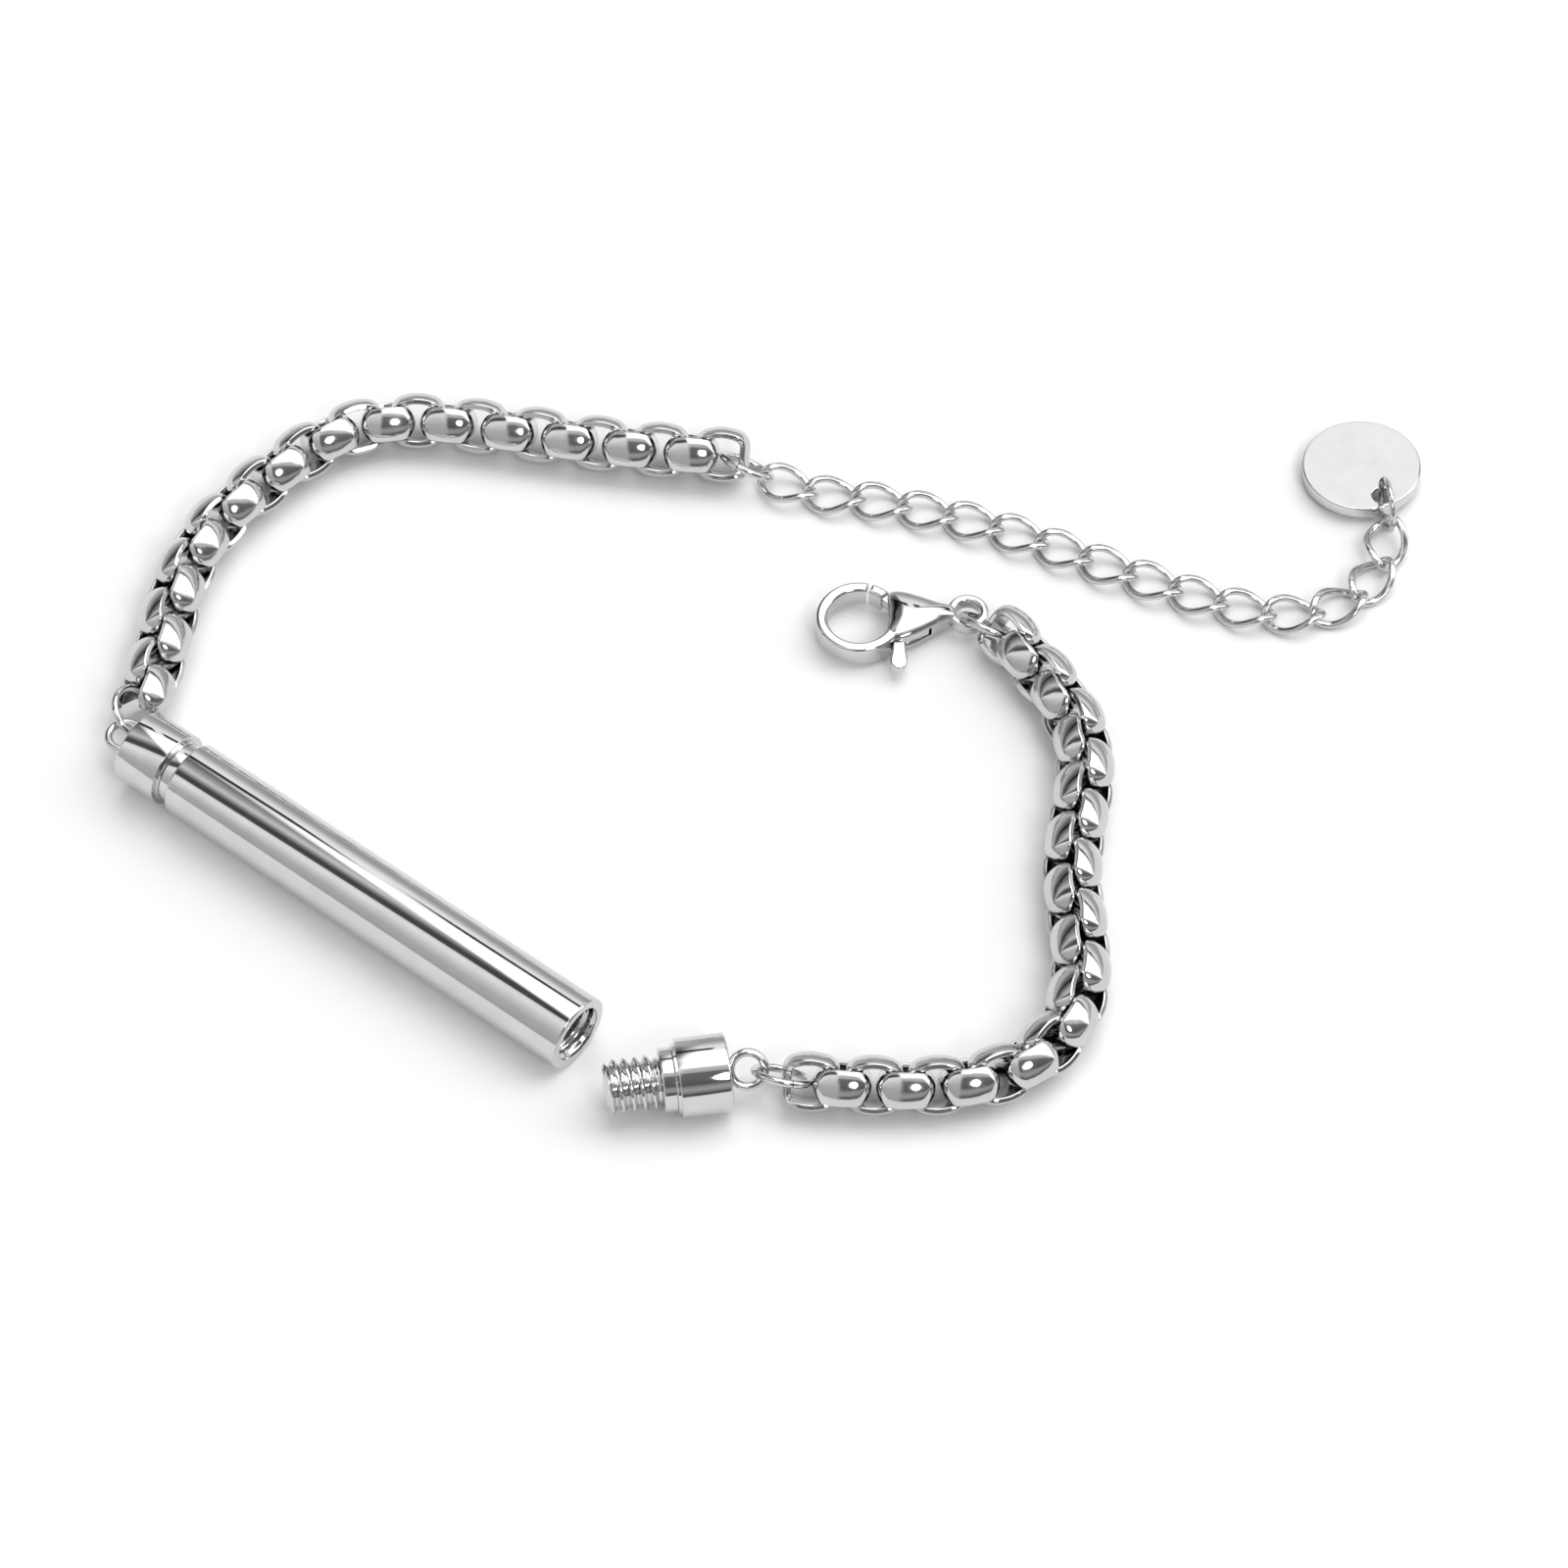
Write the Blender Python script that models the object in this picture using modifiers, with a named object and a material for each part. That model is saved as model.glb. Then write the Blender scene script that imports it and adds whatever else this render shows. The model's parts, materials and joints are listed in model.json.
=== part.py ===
"""Screw-capped capsule bracelet: a hollow steel tube with two threaded end caps, two lengths of round box chain,
a curb extension chain with a round tag, and a lobster clasp. Metres, +Z up, laid open on the ground plane z = 0."""

from math import atan2, cos, pi, radians, sin

import bmesh
import bpy
from mathutils import Matrix, Vector

MM = 0.001

# Capsule tube: outside diameter, length, clear bore.
TUBE_RADIUS, TUBE_LENGTH, BORE_RADIUS = 3.0, 38.2, 2.2
TUBE_EDGE = 0.16
# Room between the tube's end and the cap screwed into it.
SEAT_GAP = 0.02
# Screw cap, from the eye end to the tip: head, collar left showing as a groove, threaded stud.
CAP_RADIUS, CAP_LENGTH, CAP_EDGE, COLLAR_EDGE = 3.0, 3.85, 0.18, 0.1
COLLAR_RADIUS, COLLAR_LENGTH = 2.5, 1.25
STUD_RADIUS, STUD_ROOT, STUD_LENGTH, STUD_EDGE = 2.08, 1.65, 4.2, 0.05
# Thread: spacing, how many crests, the plain run before the first, and where a crest begins and ends in its pitch.
THREAD_PITCH, CRESTS, THREAD_START, CREST_FROM, CREST_TO = 0.8, 5, 0.15, 0.44, 0.56
# Wire eye on the head: centre-line radius, wire radius, and how far its middle stands off the head.
EYE_RADIUS, EYE_WIRE, EYE_OFFSET = 1.3, 0.325, 1.45

# Box link: outside length and height, strip width and crest thickness. Its spacing along the chain is a little
# more on the left, which lies stretched, than on the right, which lies slack.
LINK_LENGTH, LINK_HEIGHT, STRIP_WIDTH, STRIP_THICK = 4.1, 4.55, 2.7, 0.55
LINK_INNER_CORNER, LEFT_PITCH, RIGHT_PITCH, LINKS = 0.7, 2.47, 2.35, 26
# Strip section, as shares of its thickness at the edge and the crest and of its half width inside and outside.
EDGE_SHARE, CREST_SHARE, FLAT_SHARE, CROWN_SHARE = 0.36, 0.96, 0.5, 0.42
# Hidden block that ties two box links into one body.
TIE_SIZE = (0.9, 0.9, 0.9)
CHAIN_HEIGHT = 2.33
ROLL = radians(45.0)

# Round jump rings: centre-line radius and wire radius.
RING_RADIUS, RING_WIRE = 2.1, 0.3
TAG_RING_RADIUS, TAG_RING_WIRE = 2.0, 0.25
# How far the middle of a ring's wire lies from the middle of the box link it hangs on.
RING_SEAT = 0.08
# How far the middle of a ring's wire lies from the middle of a cap's eye, and from the middle of the clasp's.
CAP_RING_SEAT, CLASP_RING_SEAT = 0.48, 0.1

# Curb link of the extension chain: half length and half width of the centre line, wire radius, twist.
CURB_LENGTH, CURB_WIDTH, CURB_WIRE, CURB_TWIST = 2.3, 1.5, 0.3, radians(45.0)
CURB_PITCH, CURBS, CURB_HEIGHT = 3.82, 15, 0.87
CURB_OVERLAP = 0.8
# Heights of the connector ring's low end, of the first curb link's near end and of the last one's far end.
CONNECTOR_LOW, CURB_FIRST_HEIGHT, CURB_LAST_HEIGHT = 1.34, 1.15, 1.35

# Round tag.
TAG_RADIUS, TAG_THICK, TAG_HOLE, TAG_HOLE_AT, TAG_TILT = 4.75, 1.05, 0.8, 3.6, radians(4.0)
# Along the tag ring's heading: its middle past the last link, then the tag's hole and the tag's hinge past that.
TAG_RING_AT, TAG_HOLE_PAST, TAG_HINGE_PAST = 0.65, 1.41, 0.45

# Clasp, seen from above with its eye at the origin and its hook along +X.
HOOK_CENTRE, HOOK_OUTER, HOOK_INNER, HOOK_HALF, HOOK_END = 8.6, 3.4, 2.5, 0.95, radians(146.0)
CLASP_EYE_OUTER, CLASP_EYE_INNER, CLASP_EYE_HALF = 1.65, 1.08, 0.4
CLASP_HEIGHT, BODY_HALF = 1.4, 1.3
# Gate: where it runs on the hook's arc, the gaps at its tip and its heel, and how much thinner it is each side.
GATE_FROM, GATE_TO, TIP_GAP, HEEL_GAP = radians(-137.0), radians(-113.5), radians(4.0), radians(2.5)
GATE_INSET = 0.03
PIVOT = (4.9, -1.3)
PIN_RADIUS, PIN_HALF, PIN_GAP, SLOT_HALF, LEVER_HALF = 0.33, 0.85, 0.05, 0.5, 0.42
# Half height of a cutter that goes right through, and how far the notch for the gate reaches past the hook's sides.
THROUGH, NOTCH_IN, NOTCH_OUT = 2.0, 0.3, 0.4
SPRING_WIRE = 0.1

# Plan of the bracelet in millimetres. SHIFT centres the whole on the origin.
SHIFT = (-0.703, 2.296)
TUBE_START, TUBE_HEADING = (-45.6, -1.6), radians(-37.5)
STUD_TIP, SCREW_CAP_HEADING = (-13.3, -29.6), radians(9.0)
LEFT_RING_HEADING, RIGHT_RING_HEADING = radians(75.0), radians(-8.0)
LEFT_PATH = [(-48.9, 10.0), (-48.4, 12.9), (-47.8, 16.9), (-46.4, 21.1), (-44.1, 24.9), (-41.1, 28.2),
             (-38.0, 31.1), (-34.7, 33.2), (-30.3, 34.0), (-25.6, 33.6), (-20.5, 32.7), (-15.6, 31.8),
             (-10.7, 31.1), (-5.1, 30.5), (-1.0, 30.2)]
RIGHT_PATH = [(6.8, -28.9), (11.5, -28.9), (14.6, -28.4), (17.6, -27.2), (20.0, -25.1), (21.6, -22.4),
              (22.3, -19.4), (22.3, -16.2), (22.0, -12.6), (21.9, -9.0), (22.6, -4.4), (23.2, -0.4),
              (22.8, 3.6), (21.2, 7.2), (19.0, 10.5), (17.0, 13.2), (15.0, 15.6)]
CURB_PATH = [(1.4, 27.9), (4.2, 27.5), (7.4, 26.9), (11.3, 25.9), (14.8, 24.9), (18.5, 23.6), (21.8, 22.1),
             (25.5, 20.4), (29.1, 18.8), (32.6, 17.4), (36.2, 16.1), (39.8, 15.5), (43.4, 16.2),
             (46.2, 18.4), (47.8, 21.7), (48.0, 25.4)]
CONNECTOR_HEADING, CLASP_RING_HEADING, CLASP_HEADING = radians(-22.0), radians(138.0), radians(185.5)
CLASP_RING_ROLL = radians(46.0)
TAG_RING_HEADING, TAG_HEADING = radians(99.0), radians(114.0)


def clear_scene():
    for old in list(bpy.data.objects):
        bpy.data.objects.remove(old, do_unlink=True)


def collection(name, tools=False):
    made = bpy.data.collections.new(name)
    bpy.context.scene.collection.children.link(made)
    made.hide_render = tools
    return made


def steel(name, shade, roughness):
    material = bpy.data.materials.new(name)
    material.use_nodes = True
    shader = material.node_tree.nodes["Principled BSDF"]
    shader.inputs["Base Color"].default_value = (shade, shade, shade * 0.99, 1.0)
    shader.inputs["Metallic"].default_value = 1.0
    shader.inputs["Roughness"].default_value = roughness
    return material


def place(p, z=0.0):
    return Vector(((p[0] - SHIFT[0]) * MM, (p[1] - SHIFT[1]) * MM, z * MM))


def ahead(heading):
    return Vector((cos(heading), sin(heading), 0.0))


def aim(start, end, roll):
    """Orientation with X from start to end, rolled about X from level."""
    x = (end - start).normalized()
    y = Vector((0.0, 0.0, 1.0)).cross(x).normalized()
    z = x.cross(y)
    level = Matrix((x, y, z)).transposed()
    return level @ Matrix.Rotation(roll, 3, "X")


def show(obj, where, material):
    where.objects.link(obj)
    if material:
        obj.data.materials.clear()
        obj.data.materials.append(material)
    return obj


def wire_curve(name, points, radius, closed=True, sides=2):
    data = bpy.data.curves.new(name, "CURVE")
    data.dimensions = "3D"
    data.bevel_depth = radius * MM
    data.bevel_resolution = sides
    data.use_fill_caps = not closed
    spline = data.splines.new("POLY")
    spline.points.add(len(points) - 1)
    for point, p in zip(spline.points, points):
        point.co = (p[0] * MM, p[1] * MM, p[2] * MM, 1.0)
    spline.use_cyclic_u = closed
    return data


def outline_curve(name, loops, half):
    """Flat outline with holes, given a thickness of 2 * half about z = 0."""
    data = bpy.data.curves.new(name, "CURVE")
    data.dimensions = "2D"
    data.fill_mode = "BOTH"
    data.extrude = half * MM
    for loop in loops:
        spline = data.splines.new("POLY")
        spline.points.add(len(loop) - 1)
        for point, p in zip(spline.points, loop):
            point.co = (p[0] * MM, p[1] * MM, 0.0, 1.0)
        spline.use_cyclic_u = True
    return data


def circle(x, y, radius, steps, start=0.0):
    turn = 2 * pi / steps
    return [(x + radius * cos(start + turn * i), y + radius * sin(start + turn * i)) for i in range(steps)]


def to_mesh(data, name):
    """The mesh of a curve, with its seams closed."""
    carrier = bpy.data.objects.new(name, data)
    bpy.context.scene.collection.objects.link(carrier)
    graph = bpy.context.evaluated_depsgraph_get()
    mesh = bpy.data.meshes.new_from_object(carrier.evaluated_get(graph))
    bpy.data.objects.remove(carrier, do_unlink=True)
    work = bmesh.new()
    work.from_mesh(mesh)
    bmesh.ops.remove_doubles(work, verts=work.verts, dist=1e-6)
    bmesh.ops.recalc_face_normals(work, faces=work.faces)
    work.to_mesh(mesh)
    work.free()
    mesh.name = name
    return mesh


def turned(name, profile, steps, zero=0.0):
    """Solid of revolution running down local -Z: profile points are (depth, radius), listed down the outer side."""
    closed = profile[0] == profile[-1]
    points = profile[:-1] if closed else profile
    edges = [(i, i + 1) for i in range(len(points) - 1)] + ([(len(points) - 1, 0)] if closed else [])
    mesh = bpy.data.meshes.new(name)
    mesh.from_pydata([(r * MM, 0.0, (zero - x) * MM) for x, r in points], edges, [])
    obj = bpy.data.objects.new(name, mesh)
    screw = obj.modifiers.new("turn", "SCREW")
    screw.axis = "Z"
    screw.steps = steps
    screw.render_steps = steps
    screw.use_merge_vertices = True
    screw.merge_threshold = 1e-6
    return obj


def boolean(obj, tool, operation):
    step = obj.modifiers.new(operation.lower(), "BOOLEAN")
    step.operation = operation
    step.solver = "EXACT"
    step.object = tool
    return obj


def tool_object(name, mesh, matrix, tools):
    obj = bpy.data.objects.new(name, mesh)
    obj.matrix_world = matrix
    obj.display_type = "WIRE"
    tools.objects.link(obj)
    return obj


def frame_at(rotation, origin):
    return Matrix.Translation(origin) @ rotation.to_4x4()


# ---------------------------------------------------------------- plan of the chains

def smooth(points, parts=24):
    """Points of a Catmull-Rom curve through the given ones."""
    ends = [points[0]] + list(points) + [points[-1]]
    line = []
    for a, b, c, d in zip(ends, ends[1:], ends[2:], ends[3:]):
        for i in range(parts):
            t = i / parts
            line.append(tuple(0.5 * (2 * b[k] + (c[k] - a[k]) * t + (2 * a[k] - 5 * b[k] + 4 * c[k] - d[k]) * t * t
                                     + (3 * b[k] - a[k] - 3 * c[k] + d[k]) * t ** 3) for k in (0, 1)))
    return line + [points[-1]]


def walk(points, pitch, count):
    """Joints spaced one pitch apart along the curve; each link's centre and heading lie between two of them."""
    line = [Vector(p) for p in smooth(points)]
    joints = [line[0]]
    at = 1
    while len(joints) < count + 1:
        while (line[at] - joints[-1]).length < pitch:
            at += 1
        a, b = line[at - 1], line[at]
        low, high = 0.0, 1.0
        for _ in range(40):
            mid = (low + high) / 2
            if (a.lerp(b, mid) - joints[-1]).length < pitch:
                low = mid
            else:
                high = mid
        joints.append(a.lerp(b, high))
    centres = [(a + b) / 2 for a, b in zip(joints, joints[1:])]
    headings = [atan2((b - a).y, (b - a).x) for a, b in zip(joints, joints[1:])]
    return joints, centres, headings


# ---------------------------------------------------------------- shapes

def link_profile(tools):
    """Cross-section of the strip: domed outside, eased at both edges inside."""
    half, edge, crest = STRIP_WIDTH / 2, STRIP_THICK * EDGE_SHARE, STRIP_THICK * CREST_SHARE
    flat, crown = half * FLAT_SHARE, half * CROWN_SHARE
    loop = [(-half, edge), (-flat, 0.0), (flat, 0.0), (half, edge), (crown, crest), (-crown, crest)]
    data = bpy.data.curves.new("strip_section", "CURVE")
    data.dimensions = "2D"
    spline = data.splines.new("POLY")
    spline.points.add(len(loop) - 1)
    for point, (x, y) in zip(spline.points, loop):
        point.co = (y * MM, x * MM, 0.0, 1.0)
    spline.use_cyclic_u = True
    obj = bpy.data.objects.new("strip_section", data)
    tools.objects.link(obj)
    return obj


def link_mesh(section):
    """One box link: long side along X, height along Y, its strip wound about Z."""
    x, y, r = LINK_LENGTH / 2 - STRIP_THICK, LINK_HEIGHT / 2 - STRIP_THICK, LINK_INNER_CORNER
    loop = []
    for turn, (sx, sy) in enumerate([(1, 1), (-1, 1), (-1, -1), (1, -1)]):
        for i in range(4):
            a = pi / 2 * turn + pi / 2 * i / 3
            loop.append((sx * (x - r) + r * cos(a), sy * (y - r) + r * sin(a)))
    data = bpy.data.curves.new("box_link", "CURVE")
    data.dimensions = "3D"
    data.twist_mode = "Z_UP"
    data.bevel_mode = "OBJECT"
    data.bevel_object = section
    spline = data.splines.new("POLY")
    spline.points.add(len(loop) - 1)
    for point, p in zip(spline.points, loop):
        point.co = (p[0] * MM, p[1] * MM, 0.0, 1.0)
    spline.use_cyclic_u = True
    return to_mesh(data, "box_link")


def ring_points(radius, steps):
    return [(x, y, 0.0) for x, y in circle(0.0, 0.0, radius, steps)]


def curb_points(steps=16):
    """Centre line of a curb link: an oval twisted about its long axis so that it lies flat."""
    loop = []
    for i in range(steps):
        t = 2 * pi * i / steps
        a = -CURB_TWIST * cos(t)
        loop.append((CURB_LENGTH * cos(t), CURB_WIDTH * sin(t) * cos(a), CURB_WIDTH * sin(t) * sin(a)))
    return loop


def tube_object():
    e = TUBE_EDGE
    bore = [(TUBE_LENGTH, BORE_RADIUS + e), (TUBE_LENGTH - e, BORE_RADIUS)]
    profile = ([(0.0, BORE_RADIUS + e), (0.0, TUBE_RADIUS - e), (e, TUBE_RADIUS), (TUBE_LENGTH - e, TUBE_RADIUS),
                (TUBE_LENGTH, TUBE_RADIUS - e)] + bore + [(e, BORE_RADIUS), (0.0, BORE_RADIUS + e)])
    return turned("capsule_tube", profile, 36)


def cap_object(name, zero):
    """Head, collar and stud: x runs from the outer face of the head to the tip of the stud."""
    profile = [(0.0, 0.0), (0.0, CAP_RADIUS - CAP_EDGE), (CAP_EDGE, CAP_RADIUS),
               (CAP_LENGTH - COLLAR_EDGE, CAP_RADIUS), (CAP_LENGTH, CAP_RADIUS - COLLAR_EDGE),
               (CAP_LENGTH, COLLAR_RADIUS)]
    x = CAP_LENGTH + COLLAR_LENGTH
    profile += [(x - COLLAR_EDGE, COLLAR_RADIUS), (x, COLLAR_RADIUS - COLLAR_EDGE), (x, STUD_ROOT)]
    for i in range(CRESTS):
        start = x + THREAD_START + THREAD_PITCH * i
        profile += [(start, STUD_ROOT), (start + THREAD_PITCH * CREST_FROM, STUD_RADIUS),
                    (start + THREAD_PITCH * CREST_TO, STUD_RADIUS)]
    tip = x + STUD_LENGTH
    profile += [(tip - STUD_EDGE, STUD_ROOT), (tip, STUD_ROOT - STUD_EDGE), (tip, 0.0)]
    return turned(name, profile, 32, zero)


def downward(heading, origin):
    """Placement that runs a turned shape's depth along the heading."""
    z = -ahead(heading)
    y = Vector((0.0, 0.0, 1.0))
    return frame_at(Matrix((y.cross(z), y, z)).transposed(), origin)


def fixed_mesh(name, mesh, matrix, origin):
    """A mesh moved to its place, with its object's origin on its joint."""
    own = mesh.copy()
    own.name = name
    own.transform(Matrix.Translation(-origin) @ matrix)
    obj = bpy.data.objects.new(name, own)
    obj.location = origin
    return obj


def block_mesh(size):
    mesh = bpy.data.meshes.new("block")
    work = bmesh.new()
    bmesh.ops.create_cube(work, size=1.0)
    bmesh.ops.scale(work, vec=[s * MM for s in size], verts=work.verts)
    work.to_mesh(mesh)
    work.free()
    return mesh


def screw_cap(name, heading, face, zero, material, parts, tools, eye_roll):
    """Cap whose head's outer face is at the given point; the stud runs along the heading."""
    cap = cap_object(name, zero)
    cap.matrix_world = downward(heading, face + ahead(heading) * zero * MM)
    eye = face - ahead(heading) * EYE_OFFSET * MM
    ring = to_mesh(wire_curve(name + "_eye", ring_points(EYE_RADIUS, 20), EYE_WIRE), name + "_eye")
    turn = aim(eye, face, eye_roll)
    boolean(cap, tool_object(name + "_eye", ring, frame_at(turn, eye), tools), "UNION")
    return show(cap, parts, material), eye


def jump_ring(name, start, end, roll, origin, material, parts, radius=RING_RADIUS, wire=RING_WIRE):
    mesh = to_mesh(wire_curve(name, ring_points(radius, 20), wire), name)
    middle = (start + end) / 2
    return show(fixed_mesh(name, mesh, frame_at(aim(start, end, roll), middle), origin), parts, material)


def box_chain(side, path, pitch, first_roll, link, material, parts, tools):
    """Box links 1 to LINKS: single ones at both ends, the rest joined in twos. Returns the bodies and end frames."""
    joints, centres, headings = walk(path, pitch, LINKS)
    points = [place(c, CHAIN_HEIGHT) for c in centres]
    rolls = [first_roll * (1 if i % 2 == 0 else -1) for i in range(LINKS)]

    def frame(i):
        return frame_at(Matrix.Rotation(headings[i], 3, "Z") @ Matrix.Rotation(rolls[i], 3, "X"), points[i])

    bodies = []
    i = 0
    while i < LINKS:
        origin = place(joints[i], CHAIN_HEIGHT)
        single = i in (0, LINKS - 1)
        name = f"{side}_link_{i + 1:02d}" if single else f"{side}_links_{i + 1:02d}_{i + 2:02d}"
        obj = fixed_mesh(name, link, frame(i), origin)
        if not single:
            other = tool_object(f"{name}_second", link.copy(), frame(i + 1), tools)
            boolean(obj, other, "UNION")
            turn = Matrix.Rotation((headings[i] + headings[i + 1]) / 2, 3, "Z")
            middle = frame_at(turn, place(joints[i + 1], CHAIN_HEIGHT))
            tie = tool_object(f"{name}_tie", block_mesh(TIE_SIZE), middle, tools)
            boolean(obj, tie, "UNION")
        bodies.append(show(obj, parts, material))
        i += 1 if single else 2
    return bodies, points, headings


def sector(x, radius_in, radius_out, start, end, steps):
    arc = [start + (end - start) * i / steps for i in range(steps + 1)]
    return ([(x + radius_out * cos(a), radius_out * sin(a)) for a in arc]
            + [(x + radius_in * cos(a), radius_in * sin(a)) for a in reversed(arc)])


def clasp_body(matrix, origin, material, parts, tools):
    """Hook, domed teardrop body with a slot for the lever, and a flat eye."""
    hook = sector(HOOK_CENTRE, HOOK_INNER, HOOK_OUTER, GATE_TO + TIP_GAP, HOOK_END, 32)
    body = fixed_mesh("clasp_body", to_mesh(outline_curve("hook", [hook], HOOK_HALF), "hook"), matrix, origin)
    drop = [(1.2, 0.0), (1.3, 0.42), (2.2, 0.78), (3.2, 1.3), (4.4, 1.95), (5.3, 2.28), (5.9, 2.3), (6.3, 2.0),
            (6.55, 1.3), (6.62, 0.0)]
    carrier = turned("drop", drop, 28)
    bpy.context.scene.collection.objects.link(carrier)
    graph = bpy.context.evaluated_depsgraph_get()
    dome = bpy.data.meshes.new_from_object(carrier.evaluated_get(graph))
    bpy.data.objects.remove(carrier, do_unlink=True)
    lie = Matrix(((0, 0, -1, 0), (1, 0, 0, 0), (0, -1, 0, 0), (0, 0, 0, 1)))
    dome.transform(Matrix.Diagonal((1.0, 1.0, BODY_HALF / 2.3, 1.0)) @ lie)
    eye = to_mesh(outline_curve("eye", [circle(0, 0, CLASP_EYE_OUTER, 24), circle(0, 0, CLASP_EYE_INNER, 20)],
                                CLASP_EYE_HALF), "eye")
    notch = sector(HOOK_CENTRE, HOOK_INNER - NOTCH_IN, HOOK_OUTER + NOTCH_OUT, GATE_FROM - HEEL_GAP,
                   GATE_TO + TIP_GAP, 8)
    notch = to_mesh(outline_curve("notch", [notch], THROUGH), "notch")
    slot = [(3.1, -1.0), (4.2, -2.8), (6.2, -3.2), (7.0, -3.0), (7.0, -1.2), (6.5, 0.2), (6.4, 2.0), (7.2, 5.5),
            (2.4, 5.5), (3.1, 1.2)]
    slot = to_mesh(outline_curve("slot", [slot], SLOT_HALF), "slot")
    hole = to_mesh(outline_curve("pin_hole", [circle(*PIVOT, PIN_RADIUS + PIN_GAP, 16)], THROUGH), "pin_hole")
    for name, mesh, operation in (("clasp_dome", dome, "UNION"), ("clasp_eye", eye, "UNION"),
                                  ("gate_notch", notch, "DIFFERENCE"), ("lever_slot", slot, "DIFFERENCE"),
                                  ("pin_hole", hole, "DIFFERENCE")):
        boolean(body, tool_object(name, mesh, matrix, tools), operation)
    return show(body, parts, material)


def clasp_lever(matrix, origin, material, parts, tools):
    """Gate, middle plate round the pin, and thumb tab, all one piece."""
    plate = [(6.9, -2.85), (6.2, -2.55), (5.0, -2.15), (4.25, -1.9), (4.05, -1.3), (4.4, -0.4), (4.95, 1.0),
             (5.3, 2.6), (5.55, 4.4), (5.85, 4.8), (6.25, 4.8), (6.5, 4.4), (6.35, 3.2), (5.9, 1.4), (5.75, -0.4),
             (6.4, -1.45), (7.15, -2.3)]
    gate = sector(HOOK_CENTRE, HOOK_INNER, HOOK_OUTER, GATE_FROM, GATE_TO, 6)
    lever = fixed_mesh("clasp_lever", to_mesh(outline_curve("plate", [plate], LEVER_HALF), "plate"), matrix, origin)
    gate = to_mesh(outline_curve("gate", [gate], HOOK_HALF - GATE_INSET), "gate")
    hole = to_mesh(outline_curve("lever_hole", [circle(*PIVOT, PIN_RADIUS + PIN_GAP, 16)], THROUGH), "lever_hole")
    boolean(lever, tool_object("gate", gate, matrix, tools), "UNION")
    boolean(lever, tool_object("lever_hole", hole, matrix, tools), "DIFFERENCE")
    return show(lever, parts, material)


def clasp_small_parts(matrix, origin, material, parts):
    pin = to_mesh(outline_curve("clasp_pin", [circle(*PIVOT, PIN_RADIUS, 16)], PIN_HALF), "clasp_pin")
    hairpin = [(3.4, 0.6, 0.0), (3.38, -0.3, 0.0), (3.48, -0.52, 0.0), (3.66, -0.5, 0.0), (3.74, -0.28, 0.0),
               (3.8, 0.35, 0.0)]
    spring = to_mesh(wire_curve("clasp_spring", hairpin, SPRING_WIRE, closed=False), "clasp_spring")
    return [show(fixed_mesh(n, m, matrix, origin), parts, material)
            for n, m in (("clasp_pin", pin), ("clasp_spring", spring))]


def attach(child, parent):
    """Parents without moving the child."""
    bpy.context.view_layer.update()
    child.parent = parent
    child.matrix_parent_inverse = parent.matrix_world.inverted()


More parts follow.
